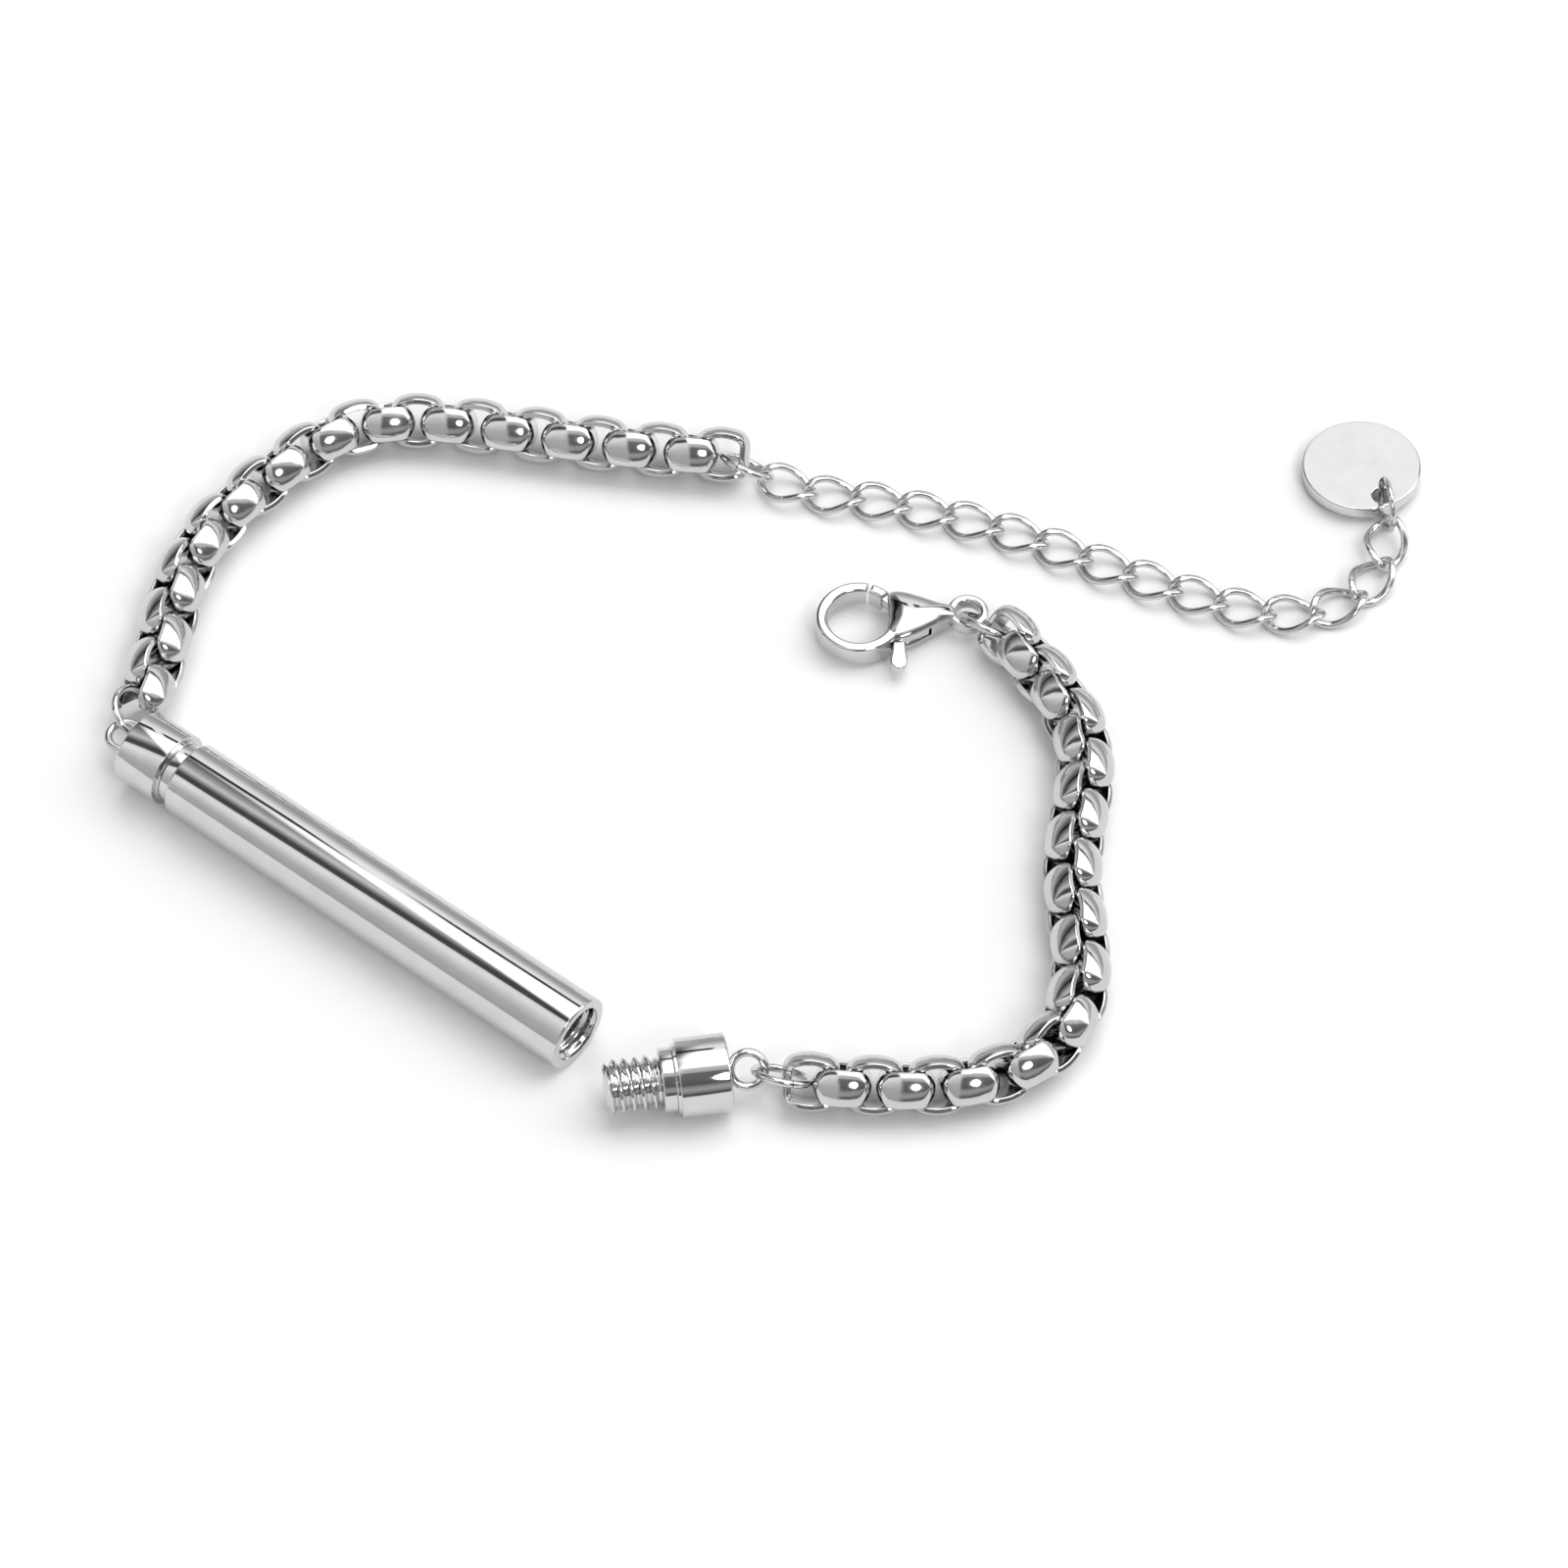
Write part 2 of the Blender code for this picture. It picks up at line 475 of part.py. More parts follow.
def build():
    clear_scene()
    parts = collection("capsule_bracelet")
    tools = collection("cutters", tools=True)
    polished = steel("polished_steel", 0.82, 0.08)
    chain_steel = steel("chain_steel", 0.78, 0.14)
    ring_steel = steel("ring_steel", 0.76, 0.16)
    spring_steel = steel("spring_steel", 0.55, 0.3)
    section = link_profile(tools)
    link = link_mesh(section)

    # Tube, and the cap screwed into its left end.
    start = place(TUBE_START, TUBE_RADIUS)
    tube = show(tube_object(), parts, polished)
    tube.matrix_world = downward(TUBE_HEADING, start)
    along = ahead(TUBE_HEADING)
    face = start - along * (CAP_LENGTH + COLLAR_LENGTH + SEAT_GAP) * MM
    left_cap, left_eye = screw_cap("left_cap", TUBE_HEADING, face, 0.0, polished, parts, tools, 0.0)
    attach(left_cap, tube)

    # Cap taken out of the right end. It swings about the point where its axis crosses the tube's.
    tip = place(STUD_TIP, TUBE_RADIUS)
    out = ahead(SCREW_CAP_HEADING)
    depth = CAP_LENGTH + COLLAR_LENGTH + STUD_LENGTH
    face = tip + out * depth * MM
    turn = out.cross(along).z
    cross = (start - tip).cross(along).z / turn
    zero = depth - cross / MM
    right_cap, right_eye = screw_cap("screw_cap", SCREW_CAP_HEADING + pi, face, zero, polished, parts, tools, -ROLL)
    attach(right_cap, tube)

    chains = {}
    for side, eye, heading, path, pitch, ring_roll, cap in (
            ("left", left_eye, LEFT_RING_HEADING, LEFT_PATH, LEFT_PITCH, ROLL, left_cap),
            ("right", right_eye, RIGHT_RING_HEADING, RIGHT_PATH, RIGHT_PITCH, -ROLL, right_cap)):
        seat = eye + ahead(heading) * CAP_RING_SEAT * MM
        level = (2 * RING_RADIUS) ** 2 - (TUBE_RADIUS - CHAIN_HEIGHT) ** 2
        far = seat + ahead(heading) * level ** 0.5 * MM - Vector((0, 0, (TUBE_RADIUS - CHAIN_HEIGHT) * MM))
        ring = jump_ring(side + "_cap_ring", seat, far, ring_roll, seat, ring_steel, parts)
        attach(ring, cap)
        first = Vector((far.x / MM + SHIFT[0], far.y / MM + SHIFT[1]))
        toward = (Vector(path[0]) - first).normalized()
        path = [tuple(first - toward * (pitch / 2 - RING_SEAT))] + path
        bodies, points, headings = box_chain(side, path, pitch, -ring_roll, link, chain_steel, parts, tools)
        for child, parent in zip(bodies, [ring] + bodies):
            attach(child, parent)
        chains[side] = (bodies, points[-1], headings[-1])

    # Extension: connector ring, curb links, tag ring and tag.
    bodies, last, heading = chains["left"]
    seat = last + ahead(heading) * RING_SEAT * MM
    w = ahead(CONNECTOR_HEADING)
    drop = CHAIN_HEIGHT - CONNECTOR_LOW
    far = seat + w * ((2 * RING_RADIUS) ** 2 - drop ** 2) ** 0.5 * MM - Vector((0, 0, drop * MM))
    connector = jump_ring("connector_ring", seat, far, -ROLL, seat, ring_steel, parts)
    attach(connector, bodies[-1])
    curb_start = far - w * CURB_OVERLAP * MM
    first = Vector((curb_start.x / MM + SHIFT[0], curb_start.y / MM + SHIFT[1]))
    toward = (Vector(CURB_PATH[0]) - first).normalized()
    path = [tuple(first + toward * (CURB_LENGTH - CURB_PITCH / 2))] + CURB_PATH
    joints, centres, headings = walk(path, CURB_PITCH, CURBS)
    curb = to_mesh(wire_curve("curb", curb_points(), CURB_WIRE), "curb")
    before = connector
    for i in range(CURBS):
        t = ahead(headings[i])
        low = CURB_FIRST_HEIGHT if i == 0 else CURB_HEIGHT
        high = CURB_LAST_HEIGHT if i == CURBS - 1 else CURB_HEIGHT
        a, b = place(centres[i], low) - t * CURB_LENGTH * MM, place(centres[i], high) + t * CURB_LENGTH * MM
        origin = place(joints[i], low)
        obj = fixed_mesh(f"extension_link_{i + 1:02d}", curb, frame_at(aim(a, b, 0.0), (a + b) / 2), origin)
        show(obj, parts, ring_steel)
        attach(obj, before)
        before, end = obj, b
    w = ahead(TAG_RING_HEADING)
    middle = Vector((end.x, end.y, (TAG_RING_RADIUS + TAG_RING_WIRE) * MM)) + w * TAG_RING_AT * MM
    reach = w * TAG_RING_RADIUS * MM
    tag_ring = jump_ring("tag_ring", middle - reach, middle + reach, radians(90.0), end, ring_steel, parts,
                         TAG_RING_RADIUS, TAG_RING_WIRE)
    attach(tag_ring, before)
    hole = middle + w * TAG_HOLE_PAST * MM
    centre = hole + ahead(TAG_HEADING) * TAG_HOLE_AT * cos(TAG_TILT) * MM
    centre.z = (TAG_RADIUS * sin(TAG_TILT) + TAG_THICK / 2 * cos(TAG_TILT)) * MM
    slope = aim(Vector((0, 0, 0)), Vector((ahead(TAG_HEADING).x, ahead(TAG_HEADING).y, -sin(TAG_TILT))), 0.0)
    disc = to_mesh(outline_curve("tag", [circle(0, 0, TAG_RADIUS, 48), circle(-TAG_HOLE_AT, 0, TAG_HOLE, 16)],
                                 TAG_THICK / 2), "tag")
    tag = show(fixed_mesh("tag", disc, frame_at(slope, centre), middle + w * TAG_HINGE_PAST * MM),
               parts, polished)
    attach(tag, tag_ring)

    # Clasp on the right chain.
    bodies, last, heading = chains["right"]
    seat = last + ahead(heading) * RING_SEAT * MM
    w = ahead(CLASP_RING_HEADING)
    drop = CHAIN_HEIGHT - CLASP_HEIGHT
    far = seat + w * ((2 * RING_RADIUS) ** 2 - drop ** 2) ** 0.5 * MM - Vector((0, 0, drop * MM))
    ring = jump_ring("clasp_ring", seat, far, CLASP_RING_ROLL, seat, ring_steel, parts)
    attach(ring, bodies[-1])
    eye = far + w * CLASP_RING_SEAT * MM
    matrix = frame_at(Matrix.Rotation(CLASP_HEADING, 3, "Z"), eye)
    body = clasp_body(matrix, far, polished, parts, tools)
    attach(body, ring)
    pivot = matrix @ Vector((PIVOT[0] * MM, PIVOT[1] * MM, 0.0))
    attach(clasp_lever(matrix, pivot, polished, parts, tools), body)
    for small in clasp_small_parts(matrix, pivot, spring_steel, parts):
        attach(small, body)


build()
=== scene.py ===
"""Screw-capped capsule bracelet in polished steel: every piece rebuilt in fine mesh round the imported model.
Shapes are in millimetres in their own frames, and each is laid where its CAD node lies. Metres, +Z up."""

import json
from math import asin, cos, degrees, pi, radians, sin, sqrt, tan

import bmesh
import bpy
import numpy as np
from mathutils import Matrix, Vector


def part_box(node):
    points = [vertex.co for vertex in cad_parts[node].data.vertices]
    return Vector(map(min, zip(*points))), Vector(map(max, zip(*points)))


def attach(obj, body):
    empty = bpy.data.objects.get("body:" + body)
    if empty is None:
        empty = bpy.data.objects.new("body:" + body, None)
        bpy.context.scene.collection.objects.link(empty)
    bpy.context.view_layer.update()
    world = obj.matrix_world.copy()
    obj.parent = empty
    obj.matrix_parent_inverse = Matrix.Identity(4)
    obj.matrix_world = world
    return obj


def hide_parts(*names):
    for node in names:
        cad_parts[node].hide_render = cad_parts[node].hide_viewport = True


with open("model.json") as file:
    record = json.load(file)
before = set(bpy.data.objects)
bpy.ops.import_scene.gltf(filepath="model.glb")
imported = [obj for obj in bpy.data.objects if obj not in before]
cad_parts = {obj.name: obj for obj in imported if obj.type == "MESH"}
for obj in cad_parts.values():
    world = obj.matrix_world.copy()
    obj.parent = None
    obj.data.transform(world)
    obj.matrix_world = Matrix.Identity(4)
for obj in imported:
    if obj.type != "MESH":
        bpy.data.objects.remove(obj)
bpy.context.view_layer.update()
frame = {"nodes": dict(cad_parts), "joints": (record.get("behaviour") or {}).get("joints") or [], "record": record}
MM = 0.001
UP = Vector((0.0, 0.0, 1.0))
JOINTS = {joint["child"]: joint for joint in frame["joints"]}
BODY_OF = {node: body for body, nodes in frame["record"]["behaviour"]["bodies"].items() for node in nodes}

# Capsule tube and its caps.
TUBE_RADIUS, BORE_RADIUS, TUBE_EDGE = 3.0, 2.2, 0.16
THREAD_PITCH, TUBE_THREAD, TUBE_THREAD_DEPTH = 0.8, 5.6, 0.3
CAP_RADIUS, CAP_LENGTH, CAP_EDGE = 3.0, 3.85, 0.2
SHOULDER_RADIUS, SHOULDER_LENGTH = 2.64, 0.24
COLLAR_RADIUS, COLLAR_LENGTH = 2.46, 1.25
STUD_ROOT, STUD_RADIUS, STUD_LENGTH = 1.64, 2.08, 4.2
EYE_RADIUS, EYE_WIRE, EYE_OFFSET = 1.3, 0.325, 1.45

# Box link: outside length and height, strip thickness at the crest and at the edges, half width on the long
# sides and on the end bars, radius of the rounded ends of the long sides, corner and long side radius inside.
LINK_LENGTH, LINK_HEIGHT, STRIP_THICK, STRIP_EDGE = 4.42, 4.55, 0.8, 0.4
SIDE_HALF, BAR_HALF, END_RADIUS, LINK_CORNER, LINK_BOW = 1.4, 0.6, 1.5, 0.5, 3.4
LINKS = 26
ROLL = radians(45.0)

# Jump rings, curb links and tag.
RING_RADIUS, RING_WIRE, TAG_RING_RADIUS, TAG_RING_WIRE = 2.1, 0.3, 2.0, 0.25
RING_SLIT = 0.05
CURB_LENGTH, CURB_WIDTH, CURB_WIRE, CURB_TWIST, CURBS = 2.3, 1.5, 0.3, radians(45.0), 15
TAG_RADIUS, TAG_THICK, TAG_HOLE, TAG_EDGE = 4.75, 1.05, 0.8, 0.13

# Clasp in its own frame: eye at the origin, hook along +X.
CLASP_HEADING = radians(185.5)
HOOK_CENTRE, HOOK_OUTER, HOOK_INNER, HOOK_HALF = 8.6, 3.4, 2.5, 0.95
HOOK_START, HOOK_END = radians(-109.5), radians(150.0)
GATE_FROM, GATE_TO = radians(-137.0), radians(-113.5)
GATE_LAP, GATE_STEP = radians(2.0), 0.03
PIVOT, PIN_RADIUS, PIN_HALF, PIN_PLAY, PIN_HOLE_HALF = (4.9, -1.3), 0.33, 0.85, 0.05, 0.9
CLASP_EYE_OUTER, CLASP_EYE_INNER, CLASP_EYE_HALF = 1.65, 0.98, 0.58
BODY_HALF, BODY_WALL = 1.3, 0.62
SLOT_HALF, LEVER_HALF = 0.46, 0.43
# Rounded edges of the hook, of the gate and eye, and of the lever, and the near-sharp edge of what cuts.
HOOK_EDGE, CAST_EDGE, LEVER_EDGE, CUT_EDGE = 0.26, 0.24, 0.16, 0.02

# A face whose normal is this near to an axis of its mesh is a flat one.
FLAT_FROM = 0.9999

# Camera: where it looks, how far away and how high it stands, and the width of its view.
CAMERA_TARGET = (0.703, -2.296, 0.0)
CAMERA_DISTANCE, CAMERA_ELEVATION, CAMERA_VIEW = 450.0, radians(55.0), radians(15.34)
# Sky: its strength, and where along X its left side turns into its right one.
SKY_STRENGTH = 1.75
SKY_SIDES = (-0.22, -0.1)
# Small bright soft box: its direction, the cosines between which its edge falls off, and its brightness.
SMALL_BOX, SMALL_BOX_EDGE, SMALL_BOX_LIGHT = (0.35, -0.6, 0.7), (0.984, 0.99), 4.0
# Where along X the dark seam of the sky is left out, how far to each side, and from where it is full again.
SEAM_GAP = (0.05, 0.035, 0.055)


# ---------------------------------------------------------------- where the CAD pieces lie

def points_of(node):
    """The node's points in metres, each one once."""
    return np.unique(np.array([v.co for v in frame["nodes"][node].data.vertices]).round(7), axis=0)


def directions_of(points):
    """Principal directions of a set of points, the longest spread first."""
    return [Vector(row) for row in np.linalg.svd(points - points.mean(0), full_matrices=False)[2]]


def joint_at(body):
    return Vector(JOINTS[body]["pos_m"])


def upward(direction):
    return direction if direction.z >= 0 else -direction


def place_in(x, z, origin):
    """Matrix that takes millimetres in a frame with these X and Z directions to the row frame."""
    x = x.normalized()
    z = (z - x * z.dot(x)).normalized()
    turn = Matrix((x, z.cross(x), z)).transposed().to_4x4()
    return Matrix.Translation(origin) @ turn @ Matrix.Scale(MM, 4)


def ring_place(node, toward):
    """Frame of a flat ring: X from its middle towards a point, Z square to it."""
    points = points_of(node)
    middle = Vector(points.mean(0))
    normal = upward(directions_of(points)[2])
    return place_in(toward - middle - normal * (toward - middle).dot(normal), normal, middle)


def turned_place(node, tail):
    """Frame of a turned piece, and its length: X runs along its axis, away from the point tail, from its near
    end."""
    points = points_of(node)
    middle = Vector(points.mean(0))
    axis, _, flat = directions_of(points)
    axis *= 1.0 if (middle - tail).dot(axis) > 0 else -1.0
    along = (points - np.array(middle)) @ np.array(axis)
    return place_in(axis, upward(flat), middle + axis * along.min()), (along.max() - along.min()) / MM


# ---------------------------------------------------------------- mesh tools

def new_piece(name, mesh, where, node, material, crease=35.0):
    """Puts a mesh in place, makes it ride on its CAD node's body, and lets it stand for that node. Faces
    square to the mesh's own axes are true flats and stay flat-shaded."""
    mesh.name = name
    curved = [max(abs(c) for c in face.normal) < FLAT_FROM for face in mesh.polygons]
    mesh.transform(where)
    mesh.shade_smooth()
    mesh.set_sharp_from_angle(angle=radians(crease))
    mesh.polygons.foreach_set("use_smooth", curved)
    mesh.materials.clear()
    mesh.materials.append(material)
    piece = bpy.data.objects.new(name, mesh)
    bpy.context.scene.collection.objects.link(piece)
    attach(piece, BODY_OF[node])
    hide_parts(node)
    return piece


def skin(rings, closed=False):
    """Mesh over a row of rings with equal point counts; an open row gets a face at each end."""
    rings = np.asarray(rings, float)
    count, around, _ = rings.shape
    faces = []
    for i in range(count if closed else count - 1):
        a, b = i * around, (i + 1) % count * around
        faces += [(a + j, a + (j + 1) % around, b + (j + 1) % around, b + j) for j in range(around)]
    if not closed:
        faces += [tuple(range(around))[::-1], tuple((count - 1) * around + j for j in range(around))]
    mesh = bpy.data.meshes.new("skin")
    mesh.from_pydata(rings.reshape(-1, 3).tolist(), [], faces)
    return clean(mesh)


def clean(mesh, gap=1e-4):
    work = bmesh.new()
    work.from_mesh(mesh)
    bmesh.ops.remove_doubles(work, verts=work.verts, dist=gap)
    bmesh.ops.dissolve_degenerate(work, edges=work.edges, dist=gap)
    bmesh.ops.recalc_face_normals(work, faces=work.faces)
    work.to_mesh(mesh)
    work.free()
    return mesh


def sweep(path, section, closed=True, up=(0.0, 0.0, 1.0)):
    """Rings of a section carried along a path. The section gives (outward, up) offsets at each point, from
    the outward direction and the point."""
    path = np.asarray(path, float)
    if closed:
        along = np.roll(path, -1, 0) - np.roll(path, 1, 0)
    else:
        along = np.gradient(path, axis=0)
    along /= np.linalg.norm(along, axis=1)[:, None]
    out = np.cross(along, np.asarray(up, float))
    out /= np.linalg.norm(out, axis=1)[:, None]
    top = np.cross(out, along)
    rings = []
    for i, point in enumerate(path):
        offsets = np.asarray(section(out[i], point))
        rings.append(point + offsets[:, :1] * out[i] + offsets[:, 1:] * top[i])
    return rings


def round_section(radius, flat=1.0, sides=20):
    """Wire section; flat below 1 presses its top and bottom."""
    points = [(cos(2 * pi * i / sides), sin(2 * pi * i / sides)) for i in range(sides)]
    return [(radius * x, radius * max(-flat, min(flat, y))) for x, y in points]


def lathe(stations, steps=96, pitch=THREAD_PITCH, closed=False):
    """Turned mesh along X. A station is (x, radius, depth): depth is how far a helical thread rises there."""
    rings = []
    for x, radius, depth in stations:
        ring = []
        for i in range(steps):
            a = 2 * pi * i / steps
            r = radius + depth * thread_wave(x / pitch - a / (2 * pi))
            ring.append((x, r * cos(a), r * sin(a)))
        rings.append(ring)
    return skin(rings, closed)


def thread_wave(turns):
    """Height of a thread, 0 in the root and 1 on the crest, with both a little flattened and eased."""
    side = abs(2 * (turns % 1.0) - 1)
    ramp = min(1.0, max(0.0, (side - 0.14) / 0.68))
    return ramp * ramp * (3 - 2 * ramp) * 0.35 + ramp * 0.65


def arc(cx, cy, radius, start, end, steps):
    angles = [radians(start + (end - start) * i / steps) for i in range(steps + 1)]
    return [(cx + radius * cos(a), cy + radius * sin(a)) for a in angles]


def circle(cx, cy, radius, steps):
    """Closed outline of a circle, its first point not repeated."""
    return arc(cx, cy, radius, 0, 360, steps)[:-1]


def plate(loops, half, edge, rounds=4):
    """Flat plate with holes, 2 * half thick, its edges rounded."""
    data = bpy.data.curves.new("plate", "CURVE")
    data.dimensions = "2D"
    data.fill_mode = "BOTH"
    data.extrude = half - edge
    data.bevel_depth = edge
    data.offset = -edge
    data.bevel_resolution = rounds
    for loop in loops:
        spline = data.splines.new("POLY")
        spline.points.add(len(loop) - 1)
        for point, (x, y) in zip(spline.points, loop):
            point.co = (x, y, 0.0, 1.0)
        spline.use_cyclic_u = True
    carrier = bpy.data.objects.new("plate", data)
    bpy.context.scene.collection.objects.link(carrier)
    mesh = bpy.data.meshes.new_from_object(carrier.evaluated_get(bpy.context.evaluated_depsgraph_get()))
    bpy.data.objects.remove(carrier, do_unlink=True)
    return clean(mesh, 2e-4)


def smooth_loop(points, parts=8):
    """Closed Catmull-Rom curve through the points."""
    loop = []
    for i in range(len(points)):
        a, b, c, d = (points[(i + k) % len(points)] for k in (-1, 0, 1, 2))
        for j in range(parts):
            t = j / parts
            loop.append(tuple(0.5 * (2 * b[k] + (c[k] - a[k]) * t
                                     + (2 * a[k] - 5 * b[k] + 4 * c[k] - d[k]) * t ** 2
                                     + (3 * b[k] - a[k] - 3 * c[k] + d[k]) * t ** 3) for k in (0, 1)))
    return loop


def combine(base, steps):
    """Boolean of meshes: each step is (operation, mesh)."""
    body = bpy.data.objects.new("combine", base)
    bpy.context.scene.collection.objects.link(body)
    tools = []
    for operation, mesh in steps:
        tool = bpy.data.objects.new("tool", mesh)
        bpy.context.scene.collection.objects.link(tool)
        tools.append(tool)
        cut = body.modifiers.new(operation, "BOOLEAN")
        cut.operation = operation
        cut.solver = "MANIFOLD"
        cut.object = tool
    bpy.context.view_layer.update()
    graph = bpy.context.evaluated_depsgraph_get()
    made = bpy.data.meshes.new_from_object(body.evaluated_get(graph))
    for obj in [body] + tools:
        bpy.data.objects.remove(obj, do_unlink=True)
    return made


# ---------------------------------------------------------------- finishes

def add_node(tree, kind, **values):
    """Adds a node; in_ values go to its inputs, by number or by name, and the others are its own settings."""
    made = tree.nodes.new(kind)
    for name, value in values.items():
        if name.startswith("in_"):
            key = name[3:]
            made.inputs[int(key) if key.isdigit() else key.replace("_", " ")].default_value = value
        else:
            setattr(made, name, value)
    return made


def steel(name, shade, rough, scratch=0.35, wave=0.15, wave_size=1.2, grain=(1.0, 14.0, 14.0), turn=0.0):
    """Polished steel. rough is its roughness range; fine scratches run along the first axis of grain, turned
    about Z; wave is how far the polish leaves the surface uneven, at wave_size millimetres."""
    material = bpy.data.materials.new(name)
    material.use_nodes = True
    tree = material.node_tree
    link = tree.links.new
    shader = tree.nodes["Principled BSDF"]
    shader.inputs["Metallic"].default_value = 1.0
    place = add_node(tree, "ShaderNodeTexCoord")
    lines = add_node(tree, "ShaderNodeMapping", in_Rotation=(0.0, 0.0, -turn),
                 in_Scale=tuple(220.0 * g for g in grain))
    link(place.outputs["Object"], lines.inputs["Vector"])
    scratches = add_node(tree, "ShaderNodeTexNoise", in_Scale=1.0, in_Detail=5.0, in_Roughness=0.65)
    link(lines.outputs["Vector"], scratches.inputs["Vector"])
    clouds = add_node(tree, "ShaderNodeTexNoise", in_Scale=420.0, in_Detail=4.0, in_Roughness=0.6)
    link(place.outputs["Object"], clouds.inputs["Vector"])
    swell = add_node(tree, "ShaderNodeTexNoise", in_Scale=1.0 / (wave_size * MM), in_Detail=1.0)
    link(place.outputs["Object"], swell.inputs["Vector"])

    tone = add_node(tree, "ShaderNodeMapRange", in_1=0.3, in_2=0.7, in_3=0.0, in_4=1.0)
    link(clouds.outputs["Fac"], tone.inputs["Value"])
    tint = add_node(tree, "ShaderNodeMix", data_type="RGBA")
    tint.inputs["A"].default_value = (shade * 0.94, shade * 0.945, shade * 0.955, 1.0)
    tint.inputs["B"].default_value = (shade * 1.04, shade * 1.035, shade * 1.02, 1.0)
    link(tone.outputs["Result"], tint.inputs["Factor"])
    link(tint.outputs["Result"], shader.inputs["Base Color"])

    sheen = add_node(tree, "ShaderNodeMix", data_type="FLOAT", in_Factor=0.5)
    link(clouds.outputs["Fac"], sheen.inputs["A"])
    link(scratches.outputs["Fac"], sheen.inputs["B"])
    spread = add_node(tree, "ShaderNodeMapRange", in_1=0.35, in_2=0.65, in_3=rough[0], in_4=rough[1])
    link(sheen.outputs["Result"], spread.inputs["Value"])
    link(spread.outputs["Result"], shader.inputs["Roughness"])

    uneven = add_node(tree, "ShaderNodeBump", in_Strength=wave, in_Distance=0.00008)
    link(swell.outputs["Fac"], uneven.inputs["Height"])
    fine = add_node(tree, "ShaderNodeBump", in_Strength=scratch, in_Distance=0.0000012)
    link(scratches.outputs["Fac"], fine.inputs["Height"])
    link(uneven.outputs["Normal"], fine.inputs["Normal"])
    link(fine.outputs["Normal"], shader.inputs["Normal"])
    return material


# ---------------------------------------------------------------- tube and caps

def tube_mesh(length):
    """Tube from x = 0 to its length: eased lips, plain bore, and a cut thread inside the open end."""
    e = TUBE_EDGE
    outer = arc(e, TUBE_RADIUS - e, e, 180, 90, 5) + arc(length - e, TUBE_RADIUS - e, e, 90, 0, 5)
    stations = [(x, r, 0.0) for x, r in outer]
    stations += [(length, BORE_RADIUS + 0.12, 0.0), (length - 0.05, BORE_RADIUS + 0.04, 0.0)]
    count = int(TUBE_THREAD / THREAD_PITCH * 12)
    for i in range(count + 1):
        share = i / count
        depth = TUBE_THREAD_DEPTH * min(1.0, share * 9, (1 - share) * 5)
        x = length - 0.14 - TUBE_THREAD * share
        stations.append((x, BORE_RADIUS + 0.14 * min(1.0, (1 - share) * 5) - depth, depth))
    stations += [(e + 0.1, BORE_RADIUS, 0.0), (0.0, BORE_RADIUS + e, 0.0)]
    return lathe(stations, closed=True)


def cap_mesh():
    """Cap along X, from the face of its head to the tip of its stud."""
    e = CAP_EDGE
    stations = [(-0.32, 0.0, 0.0), (-0.3, 0.22, 0.0), (-0.14, 0.3, 0.0), (-0.03, 0.46, 0.0), (0.0, 0.66, 0.0)]
    stations += [(x, r, 0.0) for x, r in arc(e, CAP_RADIUS - e, e, 180, 90, 5)]
    stations += [(x, r, 0.0) for x, r in arc(CAP_LENGTH - 0.07, CAP_RADIUS - 0.07, 0.07, 90, 0, 3)]
    step = CAP_LENGTH + SHOULDER_LENGTH
    stations += [(CAP_LENGTH, SHOULDER_RADIUS, 0.0), (step - 0.05, SHOULDER_RADIUS, 0.0),
                 (step, SHOULDER_RADIUS - 0.05, 0.0), (step, COLLAR_RADIUS - 0.04, 0.0),
                 (step + 0.05, COLLAR_RADIUS, 0.0)]
    x = CAP_LENGTH + COLLAR_LENGTH
    stations += [(a, r, 0.0) for a, r in arc(x - 0.14, COLLAR_RADIUS - 0.14, 0.14, 90, 0, 4)]
    stations += [(x, STUD_ROOT + 0.1, 0.0), (x + 0.08, STUD_ROOT, 0.0)]
    depth = STUD_RADIUS - STUD_ROOT
    count = int((STUD_LENGTH - 0.2) / THREAD_PITCH * 14)
    for i in range(count + 1):
        at = 0.12 + (STUD_LENGTH - 0.2) * i / count
        rise = depth * min(1.0, at / 0.5, (STUD_LENGTH - at) / 0.35)
        stations.append((x + at, STUD_ROOT, rise))
    x += STUD_LENGTH
    stations += [(x, STUD_ROOT - 0.06, 0.0), (x, 0.9, 0.0), (x - 0.05, 0.0, 0.0)]
    return lathe(stations)


def torus(radius, wire, steps=72):
    path = [(radius * cos(2 * pi * i / steps), radius * sin(2 * pi * i / steps), 0.0) for i in range(steps)]
    return skin(sweep(path, lambda out, at: round_section(wire)), closed=True)


def cut_ring(radius, wire, slit_at):
    """Jump ring: a round wire bent to a circle, its two cut ends almost meeting."""
    gap = RING_SLIT / radius
    count = 88
    angles = [slit_at + gap / 2 + (2 * pi - gap) * i / count for i in range(count + 1)]
    path = [(radius * cos(a), radius * sin(a), 0.0) for a in angles]
    return skin(sweep(path, lambda out, at: round_section(wire), closed=False))


def build_tube(finish):
    where, length = turned_place("capsule_tube", joint_at("left_link_01"))
    new_piece("steel_tube", tube_mesh(length), where, "capsule_tube", finish)


def build_cap(name, tail, finish):
    where, _ = turned_place(name, tail)
    eye_reach = EYE_OFFSET + EYE_RADIUS + EYE_WIRE
    head = where @ Matrix.Translation((eye_reach, 0.0, 0.0))
    new_piece(name + "_turned", cap_mesh(), head, name, finish)
    eye = where @ Matrix.Translation((EYE_RADIUS + EYE_WIRE, 0.0, 0.0))
    new_piece(name + "_eye", torus(EYE_RADIUS, EYE_WIRE), eye, name, finish)


# ---------------------------------------------------------------- box chain

